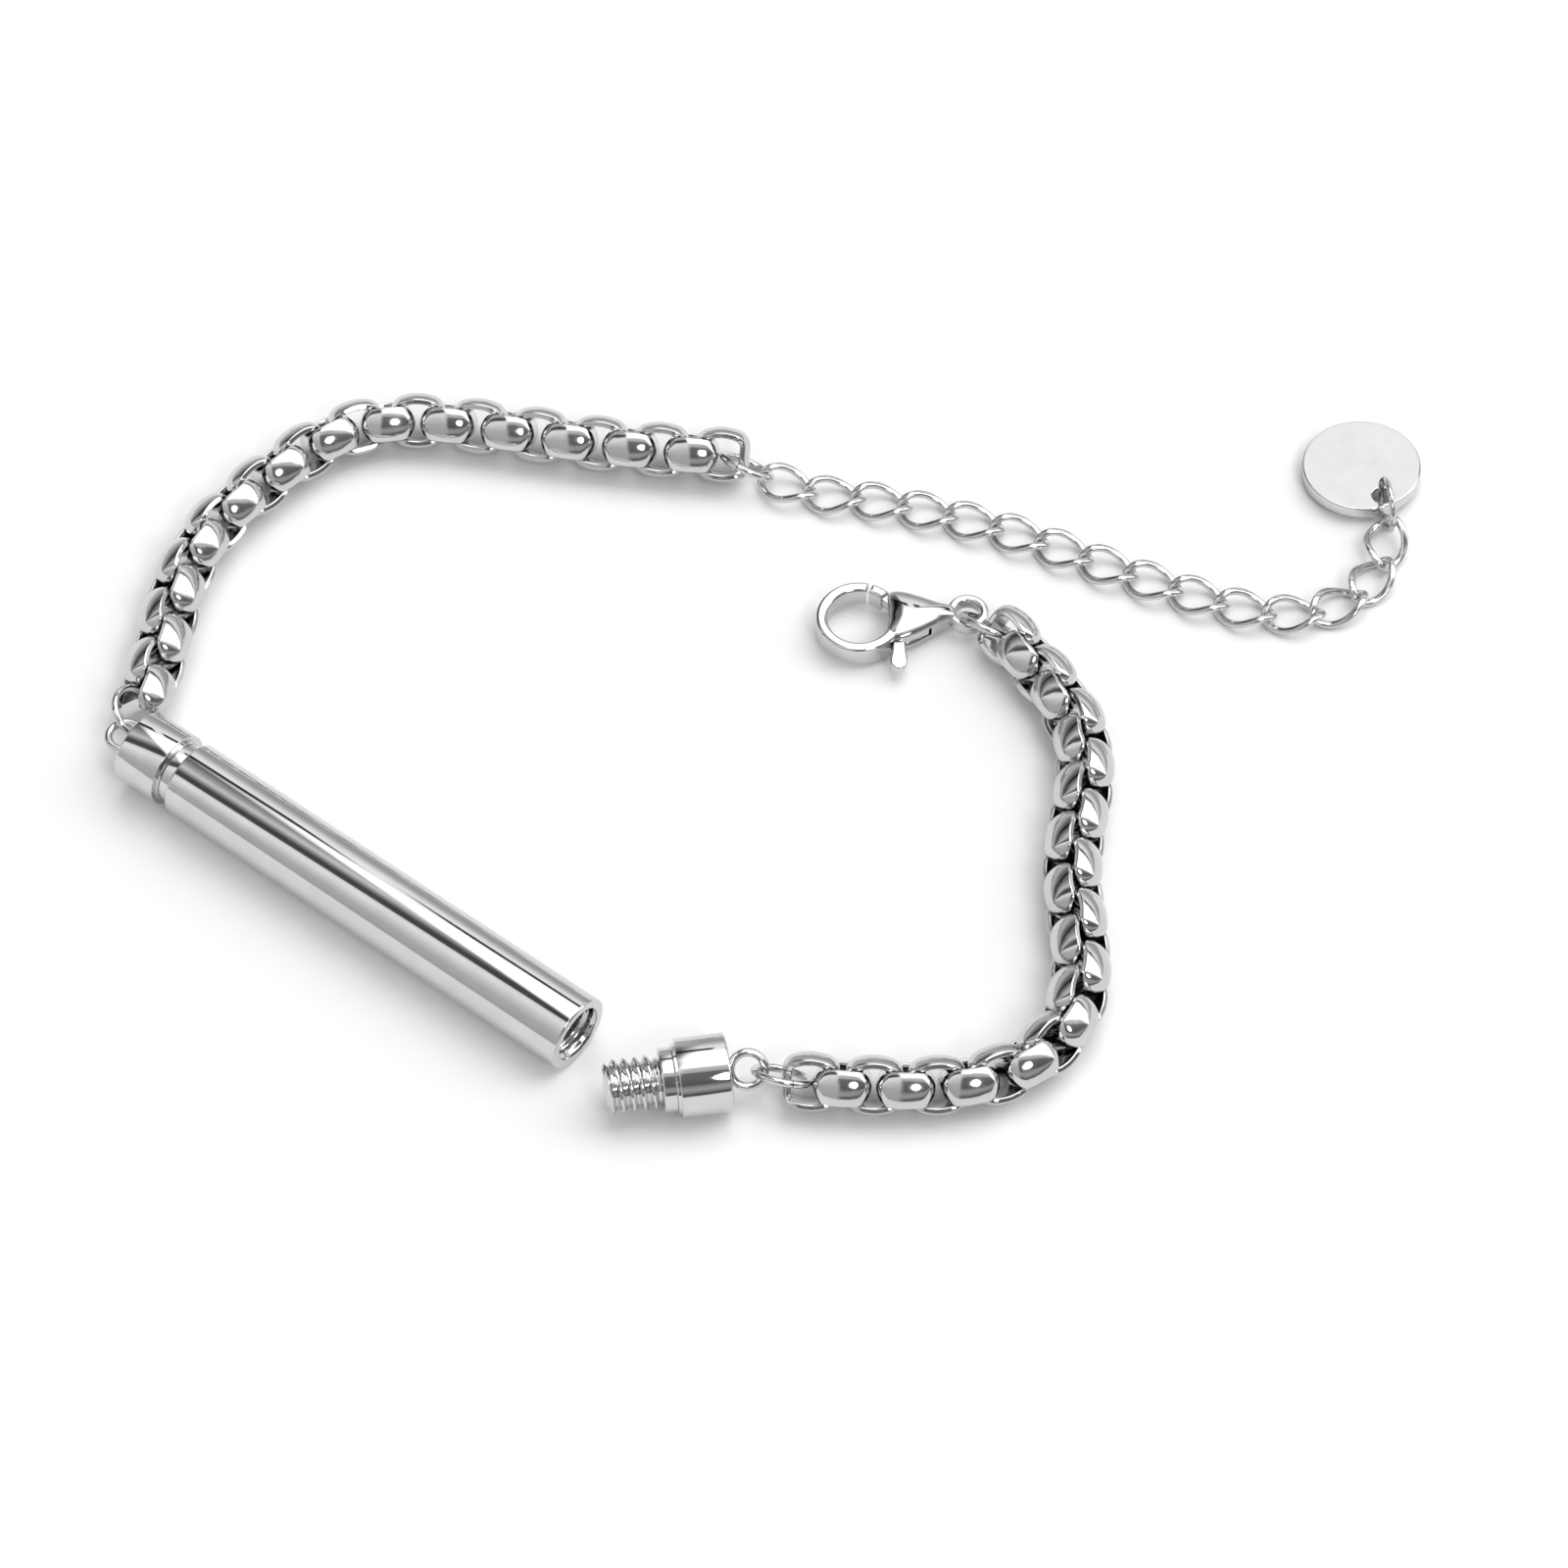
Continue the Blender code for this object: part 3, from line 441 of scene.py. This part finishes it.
def blend(a, b, power):
    """The larger of two lengths for a positive power and the smaller for a negative one, eased where they
    meet."""
    return (a ** power + b ** power) ** (1 / power)


def strip_section(out, at):
    """Strip of a box link: domed outside and flat inside, wide on the long sides, whose ends are rounded, and
    narrower on the end bars."""
    past = max(0.0, abs(at[0] + out[0] * STRIP_EDGE) - LINK_LENGTH / 2 + END_RADIUS)
    rounded = sqrt(max(0.01, END_RADIUS ** 2 - past ** 2))
    half = blend(blend(rounded, SIDE_HALF, -12), BAR_HALF, 12)
    dome = []
    for a in range(-78, 79, 6):
        u = sin(radians(a))
        dome.append((STRIP_EDGE + (STRIP_THICK - STRIP_EDGE) * (1 - u * u) ** 0.85, half * u))
    nose = [(STRIP_EDGE * 0.98, half * 0.995), (STRIP_EDGE * 0.82, half), (STRIP_EDGE * 0.25, half),
            (0.02, half - 0.03), (0.0, half - 0.1)]
    inner = [(0.0, half * 0.6), (0.0, 0.0), (0.0, -half * 0.6)]
    return dome + nose + inner + [(x, -z) for x, z in reversed(nose)]


def box_link_mesh():
    """Box link with its long side along X and its height along Y; its long sides bow out a little."""
    x, top, r = LINK_LENGTH / 2 - STRIP_THICK, LINK_HEIGHT / 2 - STRIP_THICK, LINK_CORNER
    drop = sqrt((LINK_BOW - r) ** 2 - (x - r) ** 2)
    y = top - LINK_BOW + drop
    bow = degrees(asin((x - r) / (LINK_BOW - r)))
    path = []
    for turn, side in ((0, 1), (180, -1)):
        corners = (arc(side * (x - r), side * y, r, turn, turn + 90 - bow, 14),
                   arc(0.0, side * (y - drop), LINK_BOW, turn + 90 - bow, turn + 90 + bow, 8),
                   arc(-side * (x - r), side * y, r, turn + 90 + bow, turn + 180, 14))
        bar = [(-side * x, side * y * (1 - k / 3), 0.0) for k in range(1, 6)]
        path += [(a, b, 0.0) for part in corners for a, b in part] + bar
    kept = [p for p, q in zip(path, path[1:] + path[:1]) if abs(p[0] - q[0]) + abs(p[1] - q[1]) > 1e-6]
    return skin(sweep(kept, strip_section), closed=True)


def chain_nodes(side):
    names = [f"{side}_link_01"]
    names += [f"{side}_links_{i:02d}_{i + 1:02d}" for i in range(2, LINKS, 2)]
    return names + [f"{side}_link_{LINKS}"]


def chain_joints(side):
    """The joints between the links in order: the moving ones from the record, the ones inside a pair from the
    pair's points."""
    names = chain_nodes(side)
    joints = [joint_at(names[0])]
    for name, after in zip(names[1:-1], names[2:]):
        start, end = joint_at(name), joint_at(after)
        middle = Vector(points_of(name).mean(0)) * 2 - (start + end) / 2
        across = UP.cross(end - start).normalized()
        middle = (start + end) / 2 + across * (middle - start).dot(across)
        joints += [start, middle]
    last = joint_at(names[-1])
    return joints + [last, Vector(points_of(names[-1]).mean(0)) * 2 - last]


def build_chain(side, first_roll, finish):
    shape = box_link_mesh()
    names = chain_nodes(side)
    joints = chain_joints(side)
    for i in range(LINKS):
        a, b = joints[i], joints[i + 1]
        roll = first_roll if i % 2 == 0 else -first_roll
        where = place_in(b - a, UP, (a + b) / 2) @ Matrix.Rotation(roll, 4, "X")
        node_name = names[(i + 1) // 2]
        new_piece(f"{side}_box_link_{i + 1:02d}", shape.copy(), where, node_name, finish,
                  crease=55.0)


# ---------------------------------------------------------------- rings, curb chain and tag

def build_ring(name, slit, finish, radius=RING_RADIUS, wire=RING_WIRE):
    where = ring_place(name, joint_at(name))
    mesh = cut_ring(radius, wire, radians(slit))
    new_piece(name + "_wire", mesh, where, name, finish)


def curb_mesh(steps=64):
    """Curb link: an oval wire twisted about its long axis until it lies flat, its top and bottom pressed."""
    path = []
    for i in range(steps):
        t = 2 * pi * i / steps
        a = -CURB_TWIST * cos(t)
        path.append((CURB_LENGTH * cos(t), CURB_WIDTH * sin(t) * cos(a), CURB_WIDTH * sin(t) * sin(a)))
    return skin(sweep(path, lambda out, at: round_section(CURB_WIRE, 0.86)), closed=True)


def build_curb_chain(finish):
    shape = curb_mesh()
    names = [f"extension_link_{i + 1:02d}" for i in range(CURBS)]
    for i, name in enumerate(names):
        points = points_of(name)
        middle = Vector(points.mean(0))
        x, _, z = directions_of(points)
        x *= 1.0 if (middle - joint_at(name)).dot(x) > 0 else -1.0
        where = place_in(x, upward(z), middle)
        new_piece(f"curb_link_{i + 1:02d}", shape.copy(), where, name, finish)


def build_tag(finish):
    low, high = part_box("tag")
    middle = (low + high) / 2
    points = points_of("tag")
    normal = upward(directions_of(points)[2])
    inner = points[np.linalg.norm(points - np.array(middle), axis=1) < (TAG_RADIUS - 0.3) * MM]
    hole = Vector(inner.mean(0)) - middle
    where = place_in(hole, normal, middle)
    rim = circle(0.0, 0.0, TAG_RADIUS, 128)
    drilled = circle(hole.length / MM, 0.0, TAG_HOLE, 40)
    mesh = plate([rim, drilled], TAG_THICK / 2, TAG_EDGE)
    new_piece("tag_disc", mesh, where, "tag", finish, crease=50.0)


# ---------------------------------------------------------------- clasp

def sector(start, end, steps):
    """Outline of a stretch of the hook, between two angles about its centre."""
    angles = [start + (end - start) * i / steps for i in range(steps + 1)]
    outer = [(HOOK_CENTRE + HOOK_OUTER * cos(a), HOOK_OUTER * sin(a)) for a in angles]
    inner = [(HOOK_CENTRE + HOOK_INNER * cos(a), HOOK_INNER * sin(a)) for a in reversed(angles)]
    return outer + inner


def dome_mesh(outline, centre, wall, half, rings=14):
    """Solid with an upright wall and a domed top and bottom over an outline round a centre. The level curves
    of the dome turn from the outline into a circle towards its crown."""
    middle = np.array(centre)
    loop = np.array(outline) - middle
    reach = np.linalg.norm(loop, axis=1)[:, None]
    crown = loop / reach * reach.min()
    turns = [pi / 2 * i / rings for i in range(rings)]
    rows = [(max(sin(a) ** 0.9, 0.004), wall + (half - wall) * cos(a)) for a in turns]
    rows += [(0.99, wall + 0.03), (1.0, wall - 0.02)]
    levels = rows + [(share, -z) for share, z in reversed(rows)]
    stack = []
    for share, z in levels:
        flat = middle + (loop * share + crown * (1 - share)) * share
        stack.append(np.column_stack([flat, np.full(len(flat), z)]))
    return skin(stack)


def build_clasp(body_finish, spring_finish):
    pivot = joint_at("lever")
    turn = Matrix.Rotation(CLASP_HEADING, 4, "Z")
    origin = pivot - (turn @ Vector((PIVOT[0] * MM, PIVOT[1] * MM, 0.0)))
    where = Matrix.Translation(origin) @ turn @ Matrix.Scale(MM, 4)

    drop = smooth_loop([(1.2, 0.5), (2.1, 0.86), (3.1, 1.38), (4.1, 1.9), (5.1, 2.26), (5.9, 2.34),
                        (6.42, 2.14), (6.56, 1.5), (6.36, 0.5), (6.22, -0.5), (6.18, -1.4), (6.12, -1.96),
                        (5.75, -2.3), (5.0, -2.24), (4.1, -1.9), (3.1, -1.38), (2.1, -0.86), (1.2, -0.5),
                        (1.05, 0.0)])
    dome = dome_mesh(drop, (4.6, 0.0), BODY_WALL, BODY_HALF)
    hook = plate([sector(HOOK_START, HOOK_END, 72)], HOOK_HALF, HOOK_EDGE)
    eye = plate([circle(0.0, 0.0, CLASP_EYE_OUTER, 64), circle(0.0, 0.0, CLASP_EYE_INNER, 56)],
                CLASP_EYE_HALF, CAST_EDGE)
    room = [(3.1, -1.0), (4.2, -2.8), (6.2, -3.2), (7.0, -3.0), (7.0, -1.2), (6.5, 0.2), (6.2, 1.8),
            (6.9, 5.5), (3.0, 5.5), (3.0, 1.12), (2.2, 0.6), (2.2, 0.1)]
    slot = plate([room], SLOT_HALF, CUT_EDGE, 0)
    hole = plate([circle(*PIVOT, PIN_RADIUS + PIN_PLAY, 32)], PIN_HOLE_HALF, CUT_EDGE, 0)
    casting = combine(dome, [("UNION", hook), ("UNION", eye), ("DIFFERENCE", slot), ("DIFFERENCE", hole)])
    new_piece("clasp_casting", casting, where, "clasp_body", body_finish)

    lever = smooth_loop([(6.9, -2.85), (6.2, -2.55), (5.0, -2.12), (4.25, -1.85), (4.05, -1.3), (4.3, -0.4),
                         (4.2, 0.6), (3.3, 1.0), (3.15, 1.25), (3.9, 1.66), (4.75, 2.0), (5.15, 2.35),
                         (5.2, 3.2), (5.22, 4.2), (5.5, 4.8), (5.95, 4.95), (6.4, 4.75), (6.6, 4.2),
                         (6.35, 3.2), (6.0, 1.4), (5.75, -0.4), (6.4, -1.45), (7.15, -2.3)], 6)
    plate_mesh = plate([lever], LEVER_HALF, LEVER_EDGE)
    gate = plate([sector(GATE_FROM - GATE_LAP, GATE_TO, 14)], HOOK_HALF - GATE_STEP, CAST_EDGE)
    hole = plate([circle(*PIVOT, PIN_RADIUS + PIN_PLAY, 32)], 2.0, CUT_EDGE, 0)
    lever_mesh = combine(plate_mesh, [("UNION", gate), ("DIFFERENCE", hole)])
    new_piece("clasp_gate_lever", lever_mesh, where, "clasp_lever", body_finish)

    pin = plate([circle(*PIVOT, PIN_RADIUS, 32)], PIN_HALF, 0.1)
    new_piece("clasp_pivot_pin", pin, where, "clasp_pin", spring_finish)
    hairpin = [(3.4, 0.6), (3.38, 0.1), (3.38, -0.3), (3.42, -0.46), (3.5, -0.54), (3.6, -0.54),
               (3.69, -0.46), (3.74, -0.28), (3.77, 0.05), (3.8, 0.35)]
    path = [(x, y, 0.0) for x, y in hairpin]
    wire = sweep(path, lambda out, at: round_section(0.1, sides=12), closed=False)
    new_piece("clasp_hairpin", skin(wire), where, "clasp_spring", spring_finish)


# ---------------------------------------------------------------- floor, light and camera

def build_floor():
    bpy.ops.mesh.primitive_plane_add(size=6.0, location=(0.0, 0.0, -0.00003))
    floor = bpy.context.active_object
    floor.name = "floor"
    material = bpy.data.materials.new("pale_floor")
    material.use_nodes = True
    shader = material.node_tree.nodes["Principled BSDF"]
    shader.inputs["Base Color"].default_value = (0.9, 0.9, 0.9, 1.0)
    shader.inputs["Roughness"].default_value = 0.9
    shader.inputs["Specular IOR Level"].default_value = 0.1
    floor.data.materials.append(material)


def ramp(tree, stops):
    made = tree.nodes.new("ShaderNodeValToRGB")
    made.color_ramp.interpolation = "LINEAR"
    elements = made.color_ramp.elements
    while len(elements) > 1:
        elements.remove(elements[-1])
    elements[0].position, elements[0].color = stops[0][0], (stops[0][1],) * 3 + (1.0,)
    for position, value in stops[1:]:
        elements.new(position).color = (value,) * 3 + (1.0,)
    return made


def build_light():
    """Soft boxes all round, as bands of a studio sky: brightness by the angle about X, 0 at the far horizon,
    0.5 overhead and 1 at the near horizon, with one row of bands on the left and one on the right. A dark
    seam runs half way up the far side, apart from one gap, and there is one small bright box."""
    world = bpy.data.worlds.new("studio")
    bpy.context.scene.world = world
    world.use_nodes = True
    tree = world.node_tree
    link = tree.links.new
    place = tree.nodes.new("ShaderNodeTexCoord")
    parts = tree.nodes.new("ShaderNodeSeparateXYZ")
    link(place.outputs["Generated"], parts.inputs["Vector"])
    angle = add_node(tree, "ShaderNodeMath", operation="ARCTAN2")
    link(parts.outputs["Z"], angle.inputs[0])
    link(parts.outputs["Y"], angle.inputs[1])
    share = add_node(tree, "ShaderNodeMath", operation="DIVIDE", in_1=pi)
    link(angle.outputs["Value"], share.inputs[0])
    right = ramp(tree, [(0.0, 0.3), (0.06, 0.27), (0.12, 0.35), (0.17, 0.6), (0.222, 0.75), (0.262, 0.72),
                        (0.3, 1.2), (0.34, 1.7), (0.52, 1.7), (0.555, 0.45),
                        (0.61, 0.36), (0.63, 0.12), (0.81, 0.08), (0.85, 0.22), (0.89, 0.28), (0.93, 0.2),
                        (0.96, 0.08), (1.0, 0.03)])
    left = ramp(tree, [(0.0, 0.36), (0.08, 0.36), (0.13, 0.2), (0.18, 0.1), (0.24, 0.08), (0.3, 0.12),
                       (0.36, 0.3), (0.4, 0.5), (0.44, 0.2), (0.47, 0.05), (0.52, 0.05),
                       (0.535, 0.6), (0.575, 0.66), (0.667, 0.49), (0.767, 0.36), (1.0, 0.3)])
    for made in (right, left):
        link(share.outputs["Value"], made.inputs["Fac"])
    side = add_node(tree, "ShaderNodeMapRange", in_1=SKY_SIDES[0], in_2=SKY_SIDES[1], in_3=0.0, in_4=1.0)
    link(parts.outputs["X"], side.inputs["Value"])
    mix = add_node(tree, "ShaderNodeMix", data_type="RGBA")
    link(side.outputs["Result"], mix.inputs["Factor"])
    link(left.outputs["Color"], mix.inputs["A"])
    link(right.outputs["Color"], mix.inputs["B"])
    seam = ramp(tree, [(0.0, 1.0), (0.222, 1.0), (0.228, 0.04), (0.26, 0.04), (0.268, 1.0), (1.0, 1.0)])
    link(share.outputs["Value"], seam.inputs["Fac"])
    aside = add_node(tree, "ShaderNodeMath", operation="SUBTRACT", in_1=SEAM_GAP[0])
    link(parts.outputs["X"], aside.inputs[0])
    clear = add_node(tree, "ShaderNodeMath", operation="ABSOLUTE")
    link(aside.outputs["Value"], clear.inputs[0])
    reach = add_node(tree, "ShaderNodeMapRange", in_1=SEAM_GAP[1], in_2=SEAM_GAP[2], in_3=0.0, in_4=1.0)
    link(clear.outputs["Value"], reach.inputs["Value"])
    seamed = add_node(tree, "ShaderNodeMix", data_type="RGBA", blend_type="MULTIPLY")
    link(reach.outputs["Result"], seamed.inputs["Factor"])
    link(mix.outputs["Result"], seamed.inputs["A"])
    link(seam.outputs["Color"], seamed.inputs["B"])
    toward = add_node(tree, "ShaderNodeVectorMath", operation="DOT_PRODUCT")
    toward.inputs[1].default_value = Vector(SMALL_BOX).normalized()
    link(place.outputs["Generated"], toward.inputs[0])
    small = add_node(tree, "ShaderNodeMapRange", in_1=SMALL_BOX_EDGE[0], in_2=SMALL_BOX_EDGE[1], in_3=0.0,
                     in_4=SMALL_BOX_LIGHT)
    link(toward.outputs["Value"], small.inputs["Value"])
    total = add_node(tree, "ShaderNodeMix", data_type="RGBA", blend_type="ADD")
    total.inputs["Factor"].default_value = 1.0
    link(seamed.outputs["Result"], total.inputs["A"])
    link(small.outputs["Result"], total.inputs["B"])
    background = tree.nodes["Background"]
    background.inputs["Strength"].default_value = SKY_STRENGTH
    link(total.outputs["Result"], background.inputs["Color"])
    bpy.context.scene.view_settings.view_transform = "Standard"


def build_camera():
    data = bpy.data.cameras.new("camera")
    data.lens_unit = "MILLIMETERS"
    data.sensor_width = 36.0
    data.lens = data.sensor_width / 2 / tan(CAMERA_VIEW / 2)
    data.clip_start, data.clip_end = 0.01, 10.0
    camera = bpy.data.objects.new("camera", data)
    bpy.context.scene.collection.objects.link(camera)
    back = Vector((0.0, -cos(CAMERA_ELEVATION), sin(CAMERA_ELEVATION)))
    camera.location = (Vector(CAMERA_TARGET) + back * CAMERA_DISTANCE) * MM
    camera.rotation_euler = (-back).to_track_quat("-Z", "Y").to_euler()
    bpy.context.scene.camera = camera


def build():
    tube_steel = steel("tube_steel", 0.62, (0.035, 0.09), scratch=0.3, wave=0.02, wave_size=6.0,
                       grain=(1.0, 16.0, 16.0), turn=radians(-37.5))
    cap_steel = steel("cap_steel", 0.62, (0.04, 0.11), wave=0.03, wave_size=3.0)
    link_steel = steel("link_steel", 0.6, (0.06, 0.16), wave=0.3, wave_size=1.1, grain=(1.0, 3.0, 3.0))
    wire_steel = steel("wire_steel", 0.6, (0.07, 0.18), wave=0.15, wave_size=0.9, grain=(1.0, 4.0, 4.0))
    cast_steel = steel("cast_steel", 0.62, (0.04, 0.1), wave=0.08, wave_size=1.6)
    tag_steel = steel("tag_steel", 0.66, (0.03, 0.08), wave=0.01, wave_size=4.0)
    spring_steel = steel("spring_wire_steel", 0.45, (0.15, 0.3), wave=0.1, wave_size=0.8)

    build_tube(tube_steel)
    build_cap("left_cap", joint_at("left_link_01"), cap_steel)
    build_cap("screw_cap", joint_at("right_link_01"), cap_steel)
    build_chain("left", -ROLL, link_steel)
    build_chain("right", ROLL, link_steel)
    for name, slit in (("left_cap_ring", 70.0), ("right_cap_ring", 110.0), ("connector_ring", 75.0),
                       ("clasp_ring", 100.0)):
        build_ring(name, slit, wire_steel)
    build_ring("tag_ring", 115.0, wire_steel, TAG_RING_RADIUS, TAG_RING_WIRE)
    build_curb_chain(wire_steel)
    build_tag(tag_steel)
    build_clasp(cast_steel, spring_steel)
    build_floor()
    build_light()
    build_camera()


build()
